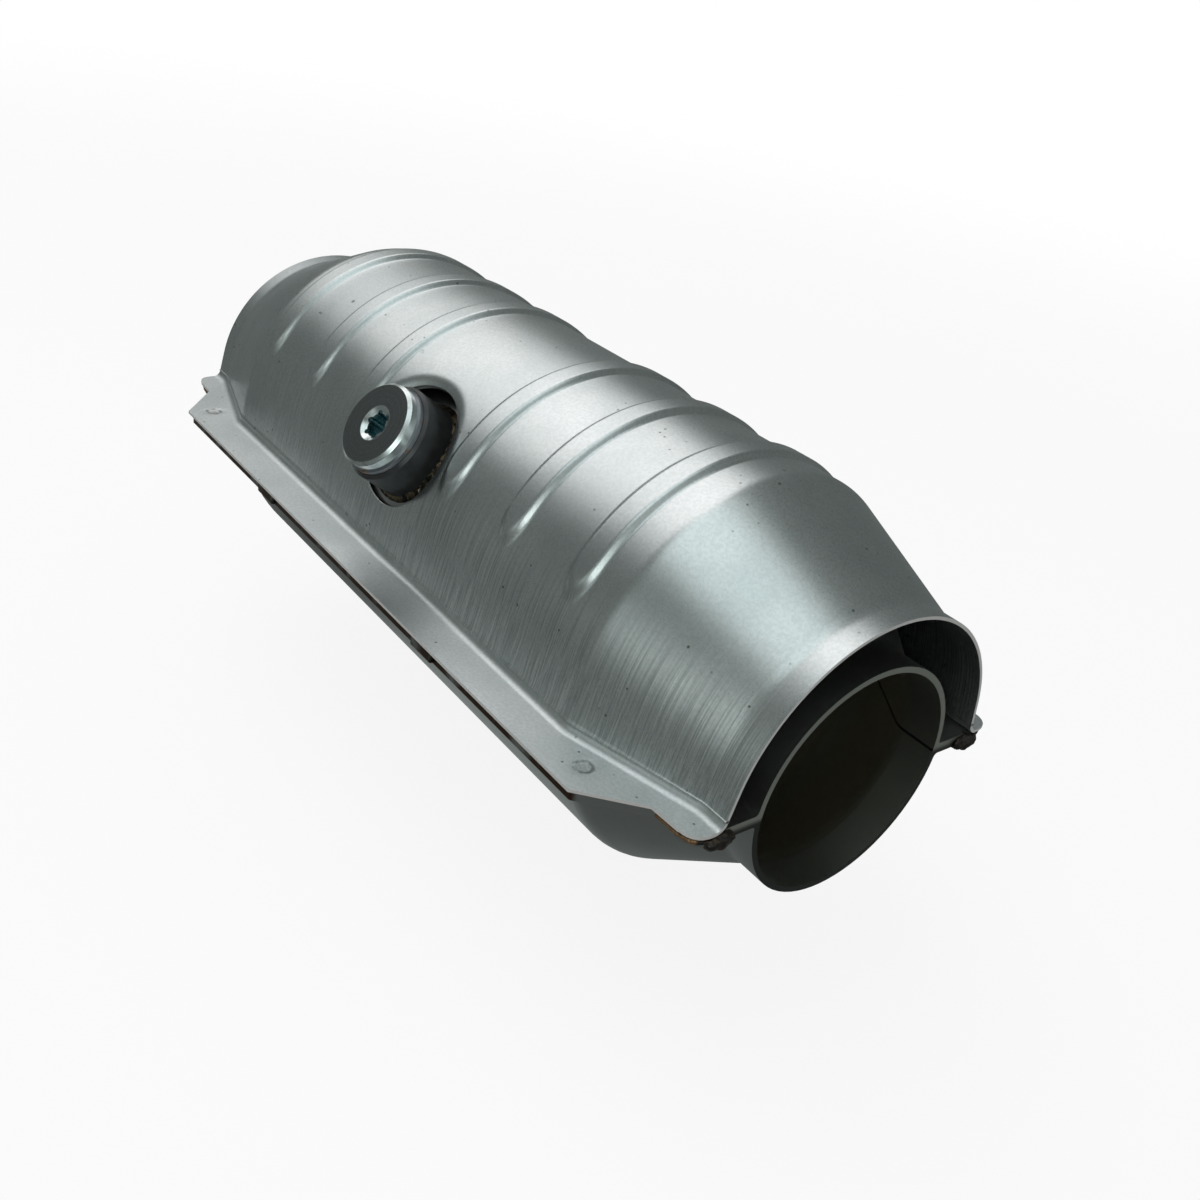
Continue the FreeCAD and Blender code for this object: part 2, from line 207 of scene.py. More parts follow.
# the shield in millimetres: x counts from the middle of the length, and "up" from the joint of the shells
shieldValues = {
    # section: crown and collar radii with their centres, the wall's lean, the foot bend and the flange
    "crown": 48.9, "crownUp": 8.6, "collar": 40.6, "collarUp": 2.6, "lean": math.radians(11.7),
    "footRound": 2.4, "flangeTop": 2.3, "sheet": 0.8,
    # the crease above the foot: its height, and its place and width as counted round the section
    "crease": 0.36, "creaseAt": 1.97, "creaseWide": 0.022,
    # length: half of it, and the cone from the shoulder to the collar
    "end": 131.7, "shoulder": 90.0, "collarAt": 125.0, "soften": 1.5,
    # flange outline: half width, the ear at each end, the waist and the rounded lobe
    "half": 62.6, "earIn": 103.9, "earOut": 106.7, "waist": 118.9, "waistY": 49.9,
    "lobe": 49.2, "lobeRound": 4.6,
    # ribs either side of the port: half widths at foot and top, height, the angle in degrees from the top
    # of the crown where they run out, how slowly they do, and the shares of a flank that are rounded
    "ribs": (24.7, 52.0, 79.2), "ribHalf": 4.5, "ribTop": 3.0, "ribHeight": 1.22, "ribEnd": 55.5,
    "ribTaper": 0.45, "ribFoot": 0.1, "ribRound": 0.25,
    # port: where it stands, how far out its side of the shield begins, the hole, and the dish and turned-in
    # edge round the hole, which both flatten out where they come near the shell
    "portX": -3.2, "portTilt": math.radians(36.0), "nearSide": 20.0,
    "holeShiftX": -0.4, "holeShiftUp": 0.6, "hole": 17.4, "dish": 3.4, "dishDepth": 1.1,
    "turn": 0.4, "turnDeep": 1.0, "keepOff": 50.35, "dishRoom": 3.4, "edgeRoom": 2.2,
    # spot welds in the flange
    "spotX": 101.9, "spotY": 55.1, "spot": 2.3, "spotDeep": 0.25,
    # grid: the gap between rows, and reach and gap at each kind of mark along the length
    "gap": 2.5, "step": 0.05, "ribGap": (5.2, 0.40), "shoulderGap": (4.0, 0.8), "collarGap": (4.0, 0.7),
    "spotGap": (3.2, 0.5), "endGap": (2.5, 0.4),
    # columns on the crown, wall, bend and flange, and the rings round the hole
    "stretches": (43, 11, 10, 8), "creaseColumns": (1.925, 1.945, 1.96, 1.98, 1.995, 2.02),
    "patchSpare": 0.6, "rings": 16, "ringEase": 1.35, "turnSteps": 4, "deepSteps": 2,
    # finish: colours, with the share of each mark that shows
    "dull": tint(0.64, 0.67, 0.67), "clear": tint(0.74, 0.76, 0.76), "cut": tint(0.60, 0.60, 0.58),
    "shade": tint(0.42, 0.44, 0.44), "shadeShare": 0.26,
    "drawDark": tint(0.30, 0.32, 0.315), "darkShare": 0.55,
    "drawPale": tint(0.95, 0.97, 0.96), "paleShare": 0.62,
    "spotRing": tint(0.22, 0.23, 0.23), "ringShare": 0.85,
    "spotFace": tint(0.40, 0.38, 0.38), "faceShare": 0.5,
    "pit": tint(0.10, 0.10, 0.10), "pitShare": 0.75, "speck": tint(0.08, 0.08, 0.08), "speckShare": 0.8,
    # finish: patterns per metre, and on the sheet's own map for the draw marks
    "grain": 5200.0, "cloud": 38.0, "mottle": 1250.0, "pits": 75.0, "specks": 360.0, "groups": 62.0,
    "draw": 6.0, "drawStretch": (34.0, 0.7, 1.0), "rough": (0.27, 0.35), "bump": 0.35, "bumpDeep": 0.00004,
}


def softRamp(x, start, stop, soft):
    # a ramp from 0 to 1 whose two corners are parabolas
    def rise(t):
        return np.where(t < -soft, 0.0, np.where(t > soft, t, (t + soft) ** 2 / (4 * soft)))
    return (rise(x - start) - rise(x - stop)) / (stop - start)


def flangeHalf(x):
    # half width: full between the ears, straight in to the waist and on to the lobe, then a quarter round
    v = shieldValues
    ear = np.where(x < 0, v["earIn"], v["earOut"])
    far = np.abs(x)
    slant = v["half"] + (far - ear) / (v["waist"] - ear) * (v["waistY"] - v["half"])
    tail = v["waistY"] + (far - v["waist"]) / (v["end"] - v["waist"]) * (v["lobe"] - v["waistY"])
    width = np.where(far < ear, v["half"], np.where(far < v["waist"], slant, tail))
    bend = v["end"] - v["lobeRound"]
    over = np.clip(far - bend, 0, v["lobeRound"])
    return np.where(far > bend, v["lobe"] - v["lobeRound"] + np.sqrt(v["lobeRound"] ** 2 - over ** 2), width)


def section(x, q):
    # the plain sheet and its outward way at x: |q| runs over the crown arc to 1, down the leaning wall
    # to 2, round the foot bend to 3 and out along the flange to 4, and its sign is the side
    v = shieldValues
    ramp = softRamp(np.abs(x), v["shoulder"], v["collarAt"], v["soften"])
    radius = v["crown"] + (v["collar"] - v["crown"]) * ramp
    up = v["crownUp"] + (v["collarUp"] - v["crownUp"]) * ramp
    lean, top, bend = v["lean"], v["flangeTop"], v["footRound"]
    arc = math.pi / 2 - lean
    part = np.abs(q)
    swing = np.minimum(part, 1.0) * arc
    y, z = radius * np.sin(swing), up + radius * np.cos(swing)
    ny, nz = np.sin(swing), np.cos(swing)
    foot = (radius + (up - top) * math.sin(lean)) / math.cos(lean)      # where wall and flange would cross
    slip = bend * math.tan(arc / 2)                                     # from there to each end of the bend
    wallTopY, wallTopZ = radius * math.cos(lean), up + radius * math.sin(lean)
    wallLowY, wallLowZ = foot - slip * math.sin(lean), top + slip * math.cos(lean)
    t = np.clip(part - 1, 0, 1)
    y = np.where(part > 1, wallTopY + (wallLowY - wallTopY) * t, y)
    z = np.where(part > 1, wallTopZ + (wallLowZ - wallTopZ) * t, z)
    t = np.clip(part - 2, 0, 1) * arc + lean
    y = np.where(part > 2, foot + slip - bend * np.cos(t), y)
    z = np.where(part > 2, top + bend - bend * np.sin(t), z)
    ny, nz = np.where(part > 2, np.cos(t), ny), np.where(part > 2, np.sin(t), nz)
    t = np.clip(part - 3, 0, 1)
    y = np.where(part > 3, foot + slip + (flangeHalf(x) - foot - slip) * t, y)
    z = np.where(part > 3, top, z)
    side = np.sign(q)
    return side * y, z, side * ny, nz, radius


def shieldPoint(x, q):
    # the plain section moved outwards by the ribs and the crease, with the spot welds pressed in
    v = shieldValues
    y, z, ny, nz, radius = section(x, q)
    swing = np.minimum(np.abs(q), 1.0) * (90 - math.degrees(v["lean"]))
    beyond = np.maximum(swing - v["ribEnd"], 0) * math.pi / 180 * radius
    foot, top = v["ribFoot"], v["ribRound"]
    full = 1 - foot / 2
    lift = np.zeros_like(y)
    for way in (-1, 1):
        for offset in v["ribs"]:
            # straight flanks that turn in sharply at the foot and round over at the top
            far = np.hypot(x - v["portX"] - way * offset, beyond * v["ribTaper"])
            t = np.clip((v["ribHalf"] - far) / (v["ribHalf"] - v["ribTop"]), 0, 1 + top)
            rounded = full - (1 + top - t) ** 2 / (4 * top)
            rise = np.where(t < foot, t * t / (2 * foot), np.where(t < 1 - top, t - foot / 2, rounded))
            lift = lift + v["ribHeight"] * rise / full
    # a fine bell-shaped crease where the wall meets the foot
    lift = lift + v["crease"] * np.exp(-((np.abs(q) - v["creaseAt"]) / v["creaseWide"]) ** 2)
    y, z = y + ny * lift, z + nz * lift
    spotFar = np.hypot(np.abs(x) - v["spotX"], np.abs(y) - v["spotY"])
    pressed = v["spotDeep"] * (1 - smoothStep(v["spot"] * 0.6, v["spot"] * 1.1, spotFar))
    z = z - np.where(np.abs(q) > 3, pressed, 0)
    return np.stack([x, y, z], -1)


def portWays():
    # out along the port, and across it up the shell
    tilt = shieldValues["portTilt"]
    out = np.array([0.0, -math.cos(tilt), math.sin(tilt)])
    across = np.array([0.0, math.sin(tilt), math.cos(tilt)])
    return out, across


def clearance(points):
    # height above the radius that holds the turned-in edge clear of the shell below it
    return np.hypot(points[..., 1], points[..., 2]) - shieldValues["keepOff"]


def keptOff(points):
    # moves what is nearer to the axis than that radius straight out to it
    grow = np.maximum(shieldValues["keepOff"] / np.hypot(points[..., 1], points[..., 2]), 1.0)
    points[..., 1:] *= grow[..., None]
    return points


def dished(points, centreX, centreUp):
    # pressed in along the port by the square of the share of the way from the dish's rim to the hole,
    # and less where the shell is close below
    v = shieldValues
    out, across = portWays()
    rim = v["hole"] + v["dish"]
    far = np.hypot(points[..., 0] - centreX, points @ across - centreUp)
    near = (points @ out) > v["nearSide"]
    inwards = np.clip((rim - far) / v["dish"], 0, 1) ** 2 * v["dishDepth"]
    inwards = inwards * np.clip(clearance(points) / v["dishRoom"], 0, 1)
    moved = points - out * (inwards * near)[..., None]
    return np.where(((far < rim) & near)[..., None], keptOff(moved), points)


def gridRows():
    # places along x: close together over each rib, bend, spot weld and end
    v = shieldValues
    marks = []
    for way in (-1, 1):
        marks += [(v["portX"] + way * rib, *v["ribGap"]) for rib in v["ribs"]]
        marks += [(way * v["shoulder"], *v["shoulderGap"]), (way * v["collarAt"], *v["collarGap"])]
        marks += [(way * v["spotX"], *v["spotGap"]), (way * (v["end"] - v["endGap"][0]), *v["endGap"])]
    fine = np.arange(-v["end"], v["end"], v["step"])
    gap = np.full_like(fine, v["gap"])
    for at, reach, close in marks:
        gap = np.where((fine >= at - reach) & (fine <= at + reach), np.minimum(gap, close), gap)
    count = np.concatenate([[0], np.cumsum(v["step"] / gap)])
    xs = np.interp(np.linspace(0, count[-1], int(count[-1]) + 1), count, np.append(fine, v["end"]))
    for corner in (-v["waist"], -v["earIn"], v["earOut"], v["waist"]):
        xs[np.argmin(np.abs(xs - corner))] = corner
    return xs


def gridColumns():
    # values of q: even on each stretch of the section, with a few more at the crease
    v = shieldValues
    half = [start + np.linspace(0, 1, count) for start, count in enumerate(v["stretches"])]
    half = np.unique(np.concatenate(half + [v["creaseColumns"]]))
    return np.concatenate([-half[::-1], half[1:]])


def sheetMap(x, q):
    # the sheet's own map: decimetres along, and a fifth for each stretch round the section
    return np.stack([np.ravel(x) * 0.01, np.ravel(q) * 0.2], -1)


def portRings(xs, qs, loop, centreX, centreUp):
    # rings from the edge of the square to the circle of the hole, each point on its own spoke
    v = shieldValues
    across = portWays()[1]
    tableQ = np.linspace(-2.6, -0.02, 4000)         # q against the height across the port, at its middle
    tableUp = shieldPoint(np.full_like(tableQ, centreX), tableQ) @ across - centreUp
    a = xs[loop[:, 0]] - centreX
    b = np.interp(qs[loop[:, 1]], tableQ, tableUp)
    angle = np.arctan2(b, a)
    rings, uvs = [], []
    for ring in range(1, v["rings"] + 1):
        share = 1 - (1 - ring / v["rings"]) ** v["ringEase"]
        x = centreX + a + (v["hole"] * np.cos(angle) - a) * share
        q = np.interp(b + (v["hole"] * np.sin(angle) - b) * share, tableUp, tableQ)
        rings.append(shieldPoint(x, q))
        uvs.append(sheetMap(x, q))
    return angle, rings, uvs


def turnedEdge(last, angle):
    # a quarter round in from the hole's edge, then straight down the port as far as the shell allows
    v = shieldValues
    out, across = portWays()
    spoke = np.cos(angle)[:, None] * np.array([1.0, 0.0, 0.0]) + np.sin(angle)[:, None] * across
    room = np.clip(clearance(last) / v["edgeRoom"], 0.1, 1)[:, None]
    rings = []
    for step in range(1, v["turnSteps"] + v["deepSteps"] + 1):
        t = min(step / v["turnSteps"], 1.0) * math.pi / 2
        straight = max(step - v["turnSteps"], 0) * v["turnDeep"] / v["deepSteps"]
        deeper = v["turn"] * (1 - math.cos(t)) + straight
        rings.append(keptOff(last - spoke * (v["turn"] * math.sin(t)) - out * deeper * room))
    return rings


def shieldMesh(material):
    # a grid over the section, in which a square round the port gives way to rings that end in the hole
    v = shieldValues
    out, across = portWays()
    xs, qs = gridRows(), gridColumns()
    rows, columns = len(xs), len(qs)
    gridX, gridQ = np.meshgrid(xs, qs, indexing="ij")
    points = shieldPoint(gridX, gridQ)
    centreX, centreUp = v["portX"] + v["holeShiftX"], v["holeShiftUp"]

    ids = np.arange(rows * columns).reshape(rows, columns)
    faces = np.stack([ids[:-1, :-1], ids[1:, :-1], ids[1:, 1:], ids[:-1, 1:]], -1)
    middle = points[rows // 2]
    besidePort = (qs < 0) & (middle @ out > v["nearSide"])
    rim = v["hole"] + v["dish"]
    inRows = np.where(np.abs(xs - centreX) < rim - v["patchSpare"])[0]
    inColumns = np.where((np.abs(middle @ across - centreUp) < rim + v["patchSpare"]) & besidePort)[0]
    i0, i1, j0, j1 = inRows[0], inRows[-1], inColumns[0], inColumns[-1]
    keep = np.ones((rows - 1, columns - 1), dtype=bool)
    keep[i0:i1, j0:j1] = False
    loop = [(i, j0) for i in range(i0, i1)] + [(i1, j) for j in range(j0, j1)]
    loop += [(i, j1) for i in range(i1, i0, -1)] + [(i0, j) for j in range(j1, j0, -1)]
    loop = np.array(loop)

    angle, rings, ringUvs = portRings(xs, qs, loop, centreX, centreUp)
    everything = dished(np.concatenate([points.reshape(-1, 3)] + rings), centreX, centreUp)
    turned = turnedEdge(everything[-len(loop):], angle)
    everything = np.concatenate([everything] + turned)
    ringUvs += [ringUvs[-1]] * len(turned)
    ringIds = rows * columns + np.arange((len(rings) + len(turned)) * len(loop)).reshape(-1, len(loop))
    edge = loop[:, 0] * columns + loop[:, 1]
    allFaces = np.concatenate([faces[keep], closedRows(np.concatenate([edge[None], ringIds]))])
    allUvs = np.concatenate([sheetMap(gridX, gridQ)] + ringUvs)

    used, inverse = np.unique(allFaces, return_inverse=True)
    everything, allUvs = everything[used], allUvs[used]
    allFaces = turnedOut(everything, inverse.reshape(-1, 4), np.array([0.0, 0.0, 1.0]))
    shield = addPiece("heat_shield_sheet", everything, allFaces, allUvs, material)
    thick = shield.modifiers.new("sheet", "SOLIDIFY")
    thick.thickness = v["sheet"] * mm
    thick.offset = -1.0
    thick.use_even_offset = False
    shield.data.materials.append(plainFinish("cutSteel", v["cut"], 0.45, 0.5))
    thick.material_offset_rim = 1
    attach(shield, "root")
    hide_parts("heat_shield")
    return shield


def shieldMetal():
    # satin sheet, with marks from the press low on the walls, stained spot welds, pits and specks
    v = shieldValues
    material, tree, shader = newMaterial("shieldMetal")
    at = objectPlace(tree)
    x, y, z = split(tree, at)
    sheet = node(tree, "ShaderNodeUVMap", {"uv_map": "sheet"}).outputs[0]
    grain = noise(tree, at, v["grain"])
    cloud = noise(tree, at, v["cloud"], 3.0)
    stretched = vectorWorked(tree, "MULTIPLY", sheet, v["drawStretch"])["Vector"]
    streak = noise(tree, stretched, v["draw"], 5.0, 0.75)
    mottle = noise(tree, at, v["mottle"], 3.0, 0.65)
    colour = blended(tree, ranged(tree, cloud, 0.35, 0.65), v["dull"], v["clear"])
    shade = times(tree, ranged(tree, mottle, 0.38, 0.62), v["shadeShare"])
    colour = blended(tree, shade, colour, v["shade"])

    # the marks fade up the wall, stop above the flange and grow towards the outlet
    low = ranged(tree, z, 0.018, 0.038, 1.0, 0.0)
    above = ranged(tree, z, 0.0030, 0.0055)
    marks = times(tree, low, above, ranged(tree, x, 0.03, 0.19, 0.35, 1.0))
    dark = times(tree, marks, ranged(tree, streak, 0.50, 0.58))
    pale = times(tree, marks, ranged(tree, streak, 0.39, 0.47, 1.0, 0.0))
    colour = blended(tree, times(tree, dark, v["darkShare"]), colour, v["drawDark"])
    colour = blended(tree, times(tree, pale, v["paleShare"]), colour, v["drawPale"])

    # a broken dark ring round each spot weld, and a patchy face inside it
    besideX = minus(tree, unsigned(tree, minus(tree, x, mid * mm)), v["spotX"] * mm)
    besideY = minus(tree, unsigned(tree, y), v["spotY"] * mm)
    far = plus(tree, distance(tree, besideX, besideY), times(tree, noise(tree, at, 900.0), 0.0006))
    spot = v["spot"] * mm
    ring = times(tree, ranged(tree, far, spot - 0.0006, spot - 0.0001),
                 ranged(tree, far, spot + 0.0002, spot + 0.0008, 1.0, 0.0),
                 ranged(tree, noise(tree, at, 620.0, 3.0), 0.36, 0.60))
    colour = blended(tree, times(tree, ring, v["ringShare"]), colour, v["spotRing"])
    face = times(tree, ranged(tree, far, spot - 0.0003, spot + 0.0001, 1.0, 0.0),
                 ranged(tree, noise(tree, at, 1400.0, 3.0), 0.40, 0.60))
    colour = blended(tree, times(tree, face, v["faceShare"]), colour, v["spotFace"])

    # scattered dark pits, then finer specks in loose groups
    pitFar, pitDraw = cells(tree, at, v["pits"])
    pit = times(tree, ranged(tree, pitFar, 0.03, 0.060, 1.0, 0.0), ranged(tree, pitDraw[0], 0.70, 0.72))
    colour = blended(tree, times(tree, pit, v["pitShare"]), colour, v["pit"])
    speckFar, speckDraw = cells(tree, at, v["specks"])
    group = ranged(tree, noise(tree, at, v["groups"]), 0.50, 0.58)
    few = times(tree, ranged(tree, speckDraw[1], 0.60, 0.64), group)
    speck = times(tree, ranged(tree, speckFar, 0.08, 0.15, 1.0, 0.0), few)
    colour = blended(tree, times(tree, speck, v["speckShare"]), colour, v["speck"])

    # duller in the dark marks and on the flange
    onFlange = ranged(tree, z, 0.0028, 0.0040, 1.0, 0.0)
    rough = plus(tree, ranged(tree, grain, 0.3, 0.7, *v["rough"]), times(tree, dark, 0.10),
                 times(tree, onFlange, 0.12))
    wire(tree, shader, Base_Color=colour, Roughness=rough, Metallic=1.0)
    relief = plus(tree, times(tree, grain, 0.35), times(tree, mottle, 0.8), times(tree, streak, marks, 5.0))
    bumped(tree, shader, relief, v["bump"], v["bumpDeep"])
    return material


shieldPiece = shieldMesh(shieldMetal())
print("heat shield", len(shieldPiece.data.polygons))

# the two shells: where the heat tint starts and is full, in millimetres either side of the middle
shellValues = {
    "tintFrom": 60.0, "tintFull": 61.2, "dull": tint(0.36, 0.355, 0.35), "clear": tint(0.50, 0.495, 0.485),
    "heat": tint(0.10, 0.05, 0.03), "inside": tint(0.30, 0.30, 0.27), "joint": tint(0.03, 0.03, 0.03),
    # the cut faces at the mouths: a painted shade below the joint and a painted light above it
    "cutLowPaintedShade": tint(0.07, 0.07, 0.065), "cutHighPaintedLight": tint(0.62, 0.60, 0.54),
    "grain": 3600.0, "cloud": 55.0, "heatCloud": 120.0, "rough": (0.30, 0.38), "insideRough": 0.12,
}


def shellMetal():
    # pressed sheet: heat tint on the flange's edge, dull inside, a dark joint line, and cut faces at the
    # mouths with painted light on the upper shell's and painted shade on the lower shell's
    v = shellValues
    material, tree, shader = newMaterial("shellMetal")
    at = objectPlace(tree)
    y, z = split(tree, at)[1:3]
    radial = vectorWorked(tree, "MULTIPLY", at, (0.0, 1.0, 1.0))["Vector"]
    radial = vectorWorked(tree, "NORMALIZE", radial)["Vector"]
    facing = node(tree, "ShaderNodeNewGeometry").outputs["Normal"]
    inside = ranged(tree, alongWay(tree, facing, radial), -0.3, -0.1, 1.0, 0.0)
    grain = noise(tree, at, v["grain"])
    colour = blended(tree, noise(tree, at, v["cloud"], 4.0), v["dull"], v["clear"])
    heat = times(tree, ranged(tree, unsigned(tree, y), v["tintFrom"] * mm, v["tintFull"] * mm),
                 ranged(tree, noise(tree, at, v["heatCloud"], 3.0), 0.30, 0.55))
    colour = blended(tree, heat, colour, v["heat"])
    colour = blended(tree, inside, colour, v["inside"])
    wander = times(tree, noise(tree, at, 90.0), 0.0003)
    joint = ranged(tree, unsigned(tree, plus(tree, z, wander)), 0.00022, 0.00045, 1.0, 0.0)
    colour = blended(tree, times(tree, joint, inside), colour, v["joint"])
    ends = ranged(tree, unsigned(tree, split(tree, facing)[0]), 0.97, 0.99)
    # the cut faces are painted near black below the joint as shade and pale above it as light
    cut = blended(tree, ranged(tree, z, -0.001, 0.001), v["cutLowPaintedShade"], v["cutHighPaintedLight"])
    colour = blended(tree, ends, colour, cut)
    rough = plus(tree, ranged(tree, grain, 0.3, 0.7, *v["rough"]), times(tree, inside, v["insideRough"]))
    wire(tree, shader, Base_Color=colour, Roughness=rough, Metallic=1.0)
    bumped(tree, shader, grain, 0.2, 0.00003)
    return material


shellSteel = shellMetal()
for name in ("upper_shell", "lower_shell"):
    clearSlots(nodes[name], shellSteel)
print("shells")

# the bead round the bung in millimetres: the bung's radius, the bead's reach and height, the shell's radius
weldValues = {
    "bung": 13.5, "reach": 1.8, "height": 2.2, "shell": 49.3, "sunk": 0.25, "under": 0.4,
    "ripples": 34, "around": 220, "across": 30,
    "dark": tint(0.018, 0.015, 0.012), "burnt": tint(0.17, 0.13, 0.07), "fleck": tint(0.50, 0.42, 0.28),
    "patches": 260.0, "flecks": 1500.0, "rough": 0.42, "metallic": 0.85,
}


def weldBead(material):
    # round the bung by the angle and outwards from it by a quarter cosine: the shell's own height at that
    # place, plus a slope down from the bung, plus a rounded crest with overlapping lumps
    v = weldValues
    out, across = portWays()
    turn = np.linspace(0, 2 * math.pi, v["around"], endpoint=False)
    over = np.linspace(0, 1, v["across"])
    gridT, gridO = np.meshgrid(turn, over, indexing="ij")
    lump = np.abs(np.sin(gridT * v["ripples"] / 2 + 0.7 * np.sin(3 * gridT) + 0.5 * np.sin(7 * gridT)))
    lump = lump + 0.25 * np.sin(11 * gridT + 1.3) * np.sin(9 * gridO)
    reach = v["reach"] * (0.80 + 0.10 * np.sin(2 * gridT + 0.5) + 0.10 * np.sin(5 * gridT))
    crest = np.sin(gridO * math.pi) ** 0.6 * (0.35 + 0.45 * lump)
    spread = v["bung"] - v["under"] + (reach + v["under"]) * (1 - np.cos(gridO * math.pi / 2))
    slope = v["height"] * (0.85 + 0.15 * np.sin(3 * gridT + 2)) * (1 - gridO) ** 1.1
    a, b = spread * np.cos(gridT), spread * np.sin(gridT)
    level = np.sqrt(np.maximum(v["shell"] ** 2 - b ** 2, 1)) - v["sunk"] + slope + crest
    points = a[..., None] * np.array([1.0, 0, 0]) + b[..., None] * across + level[..., None] * out
    points[..., 0] += shieldValues["portX"]
    points = points.reshape(-1, 3)
    ids = np.arange(len(points)).reshape(v["around"], v["across"])
    uvs = np.stack([gridT.ravel() / (2 * math.pi), gridO.ravel()], -1)
    bead = addPiece("bung_weld_bead", points, turnedOut(points, closedRows(ids.T), out), uvs, material)
    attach(bead, "root")
    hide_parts("bung_weld")
    return bead


def weldMetal():
    # burnt dark, with brown patches and a few paler flecks
    v = weldValues
    material, tree, shader = newMaterial("weldMetal")
    at = objectPlace(tree)
    patch = noise(tree, at, v["patches"], 4.0, 0.6)
    fleck = noise(tree, at, v["flecks"], 3.0)
    colour = blended(tree, ranged(tree, patch, 0.46, 0.70), v["dark"], v["burnt"])
    colour = blended(tree, ranged(tree, fleck, 0.63, 0.74), colour, v["fleck"])
    wire(tree, shader, Base_Color=colour, Roughness=v["rough"], Metallic=v["metallic"])
    bumped(tree, shader, plus(tree, patch, times(tree, fleck, 0.4)), 0.8, 0.0004)
    return material


# the bung's finish
bungValues = {
    "dark": tint(0.03, 0.032, 0.034), "worn": tint(0.075, 0.078, 0.08), "cloud": 300.0,
    "rough": (0.30, 0.42), "metallic": 0.7,
}


def bungMetal():
    # blackened steel, a little worn in patches
    v = bungValues
    material, tree, shader = newMaterial("bungMetal")
    cloud = noise(tree, objectPlace(tree), v["cloud"], 3.0)
    rough = ranged(tree, cloud, 0.3, 0.7, *v["rough"])
    colour = blended(tree, cloud, v["dark"], v["worn"])
    wire(tree, shader, Base_Color=colour, Roughness=rough, Metallic=v["metallic"])
    return material


# the plug in millimetres: its face out from the axis, and the radii of the face and of the socket in it
plugValues = {
    "face": 64.3, "rim": 11.2, "socket": 5.2,
    # the face and socket colours are painted shade on the bright zinc of the sides
    "bright": tint(0.74, 0.78, 0.78), "faceShade": tint(0.27, 0.275, 0.28), "socketShade": tint(0.16, 0.27, 0.29),
    "worn": tint(0.25, 0.25, 0.25), "wear": 420.0, "wearShare": 0.5,
    "rings": 3.0, "ringsAcross": 900.0, "ringsDeep": 500.0, "rough": (0.16, 0.30),
}


def plugMetal():
    # zinc plate: bright sides, a turned face painted dark grey as shade, a socket painted darker and bluish
    # as shade in its recess, and worn patches
    v = plugValues
    material, tree, shader = newMaterial("plugMetal")
    at = objectPlace(tree)
    out, across = portWays()
    centre = (out * v["face"] + np.array([shieldValues["portX"] + mid, 0, 0])) * mm
    fromCentre = vectorWorked(tree, "SUBTRACT", at, tuple(centre.tolist()))["Vector"]
    up = alongWay(tree, fromCentre, tuple(across))
    depth = alongWay(tree, fromCentre, tuple(out))
    far = distance(tree, up, split(tree, fromCentre)[0])
    turned = node(tree, "ShaderNodeCombineXYZ", None, i0=times(tree, far, v["ringsAcross"]),
                  i1=times(tree, depth, v["ringsDeep"])).outputs[0]
    rings = noise(tree, turned, v["rings"], 3.0)
    wear = noise(tree, at, v["wear"], 4.0)
    rim, socket = v["rim"] * mm, v["socket"] * mm
    onFace = times(tree, ranged(tree, far, socket - 0.0003, socket),
                   ranged(tree, far, rim - 0.0003, rim, 1.0, 0.0))
    # the face painted dark grey as shade
    colour = blended(tree, onFace, v["bright"], v["faceShade"])
    # the socket painted darker and bluish as shade in its recess
    inSocket = times(tree, ranged(tree, depth, -0.0022, -0.0012, 1.0, 0.0),
                     ranged(tree, far, socket - 0.0007, socket - 0.0002, 1.0, 0.0))
    colour = blended(tree, inSocket, colour, v["socketShade"])
    worn = times(tree, ranged(tree, wear, 0.60, 0.75), v["wearShare"])
    colour = blended(tree, worn, colour, v["worn"])
    rough = ranged(tree, rings, 0.3, 0.7, *v["rough"])
    wire(tree, shader, Base_Color=colour, Roughness=rough, Metallic=1.0)
    bumped(tree, shader, rings, 0.12, 0.00003)
    return material


# the gasket's finish
gasketValues = {
    "steel": tint(0.26, 0.27, 0.29), "rust": tint(0.35, 0.14, 0.06), "patches": 180.0,
    "rough": 0.35, "metallic": 0.9,
}


def gasketMetal():
    # grey steel with spots of rust
    v = gasketValues
    material, tree, shader = newMaterial("gasketMetal")
    rust = ranged(tree, noise(tree, objectPlace(tree), v["patches"], 3.0), 0.52, 0.62)
    colour = blended(tree, rust, v["steel"], v["rust"])
    wire(tree, shader, Base_Color=colour, Roughness=v["rough"], Metallic=v["metallic"])
    return material


weldBead(weldMetal())
for name, metal in (("sensor_bung", bungMetal), ("bung_plug", plugMetal), ("plug_gasket", gasketMetal)):
    clearSlots(nodes[name], metal())
print("port")

# the four welds along the joint: fine cells in metres for the skin, then smoothing, then a rough crust
seamValues = {
    "cell": 0.00026, "melt": 0.7, "passes": 5, "grain": 0.0013, "rough": 0.0007, "level": 0.65,
    "brown": tint(0.20, 0.10, 0.05), "tan": tint(0.34, 0.22, 0.12), "burnt": tint(0.03, 0.027, 0.026),
    "patches": 700.0, "shine": 0.33, "metallic": 0.8,
}


def seamMetal():
    # brown along the seam, and burnt dark on the lumps at the mouths
    v = seamValues
    material, tree, shader = newMaterial("seamMetal")
    at = objectPlace(tree)
    fromMiddle = unsigned(tree, minus(tree, split(tree, at)[0], mid * mm))
    lumps = ranged(tree, fromMiddle, (mid - 0.8) * mm, (mid - 0.2) * mm)
    patch = noise(tree, at, v["patches"], 4.0, 0.6)
    colour = blended(tree, patch, v["brown"], v["tan"])
    burnt = times(tree, lumps, ranged(tree, patch, 0.40, 0.70, 1.0, 0.85))
    colour = blended(tree, burnt, colour, v["burnt"])
    wire(tree, shader, Base_Color=colour, Roughness=v["shine"], Metallic=v["metallic"])
    bumped(tree, shader, patch, 0.6, 0.0004)
    return material


